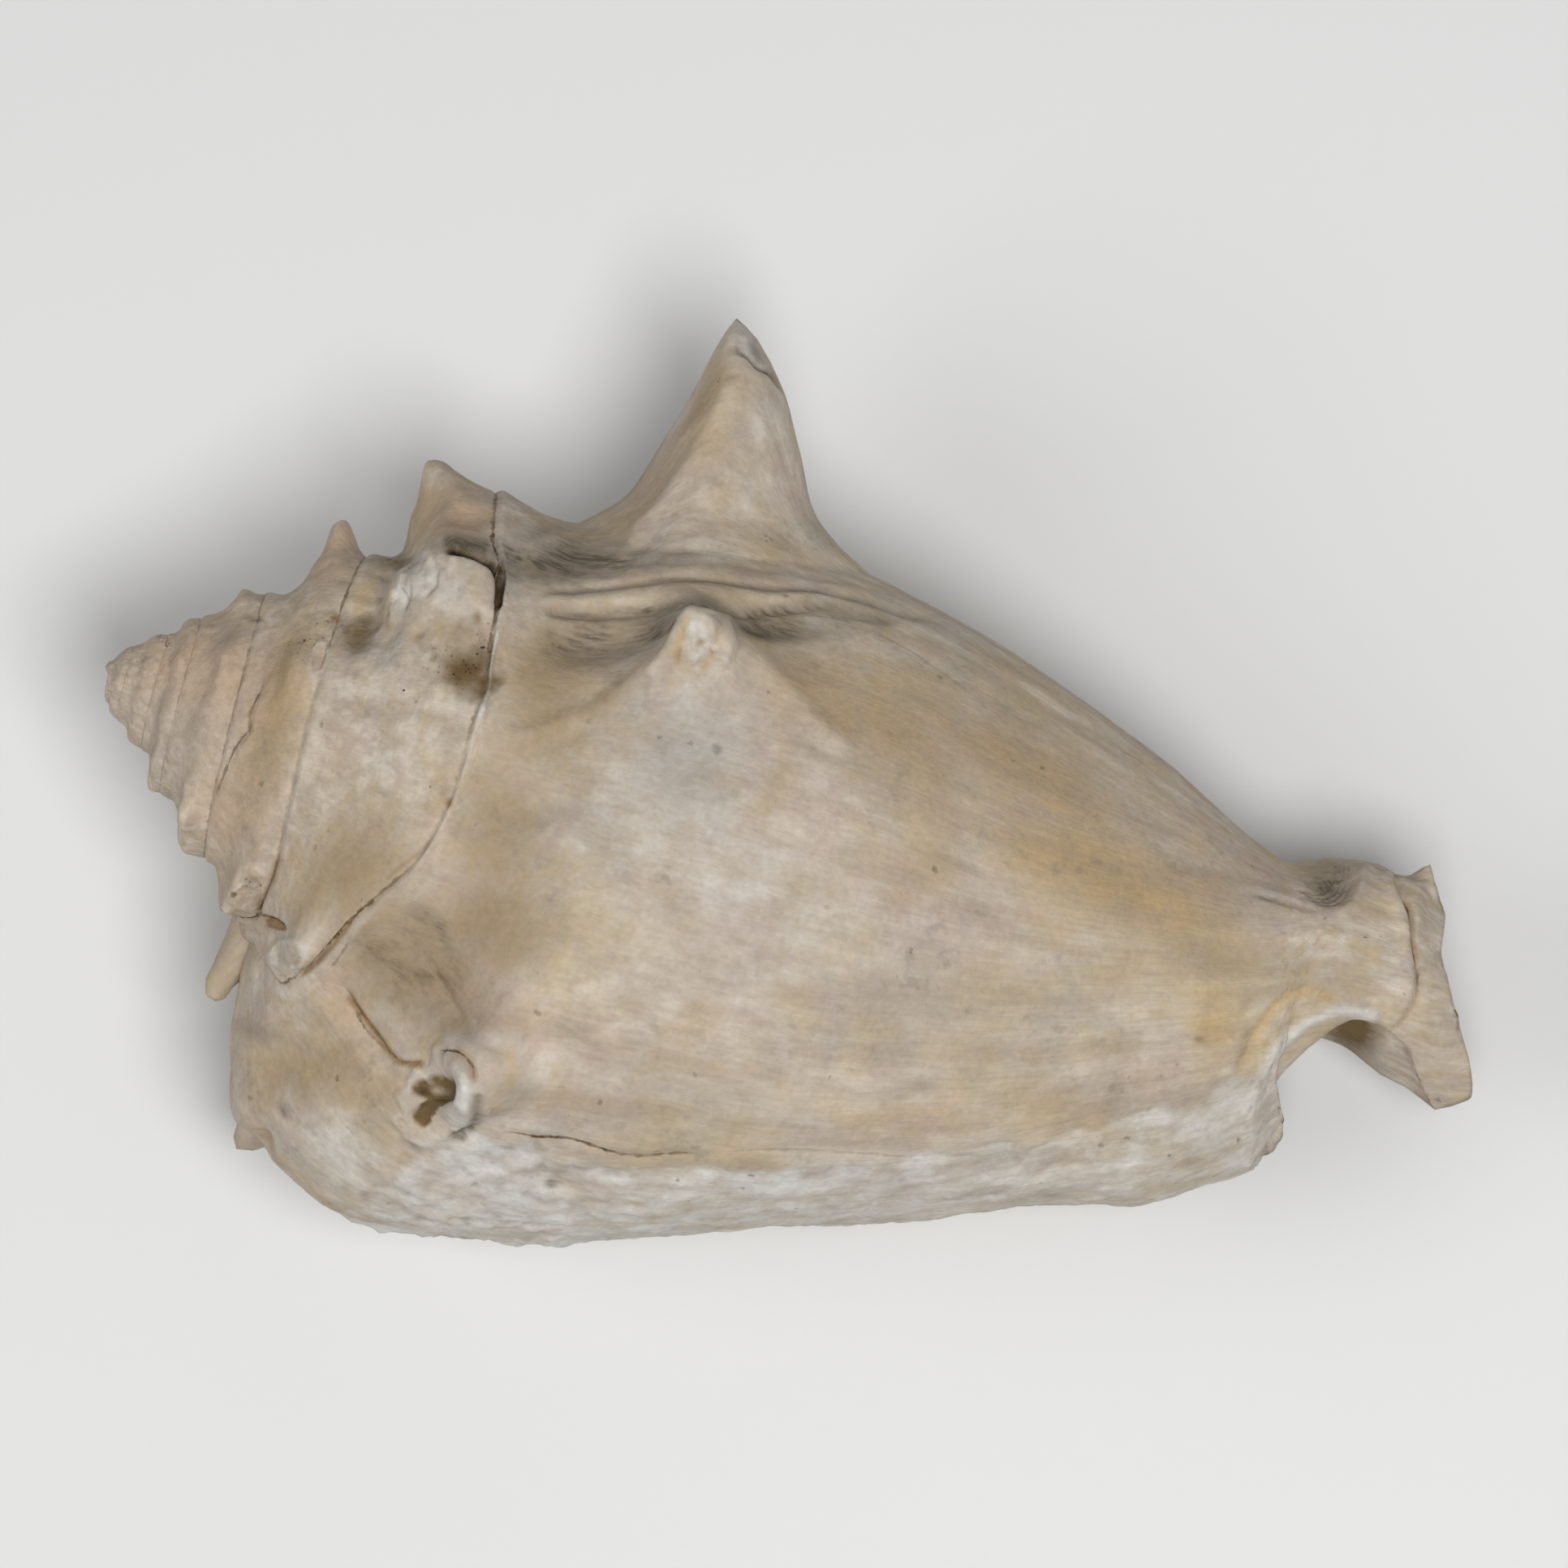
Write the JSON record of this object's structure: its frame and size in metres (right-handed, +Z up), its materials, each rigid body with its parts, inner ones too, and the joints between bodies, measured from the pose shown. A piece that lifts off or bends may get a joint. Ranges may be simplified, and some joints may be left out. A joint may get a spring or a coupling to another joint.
{
  "type": "fossil conch shell",
  "caption": "Worn fossil sea-snail shell with a low stepped spire, one long shoulder spine, a thick outer lip, a slit opening and a notched canal; lies on its opening side.",
  "frame": {"origin": "the middle of the footprint, on the floor the shell lies on", "axes": "+Z up, +X along the coil axis from the apex towards the canal, +Y towards the side with the long spine; the lip is on the -Y side"},
  "size_m": [0.1313, 0.0896, 0.0553],
  "materials": {
    "shell": "matte, chalky, warm beige with grey, ochre and white patches"
  },
  "bodies": {
    "root": {"shell": "shell"}
  },
  "joints": []
}
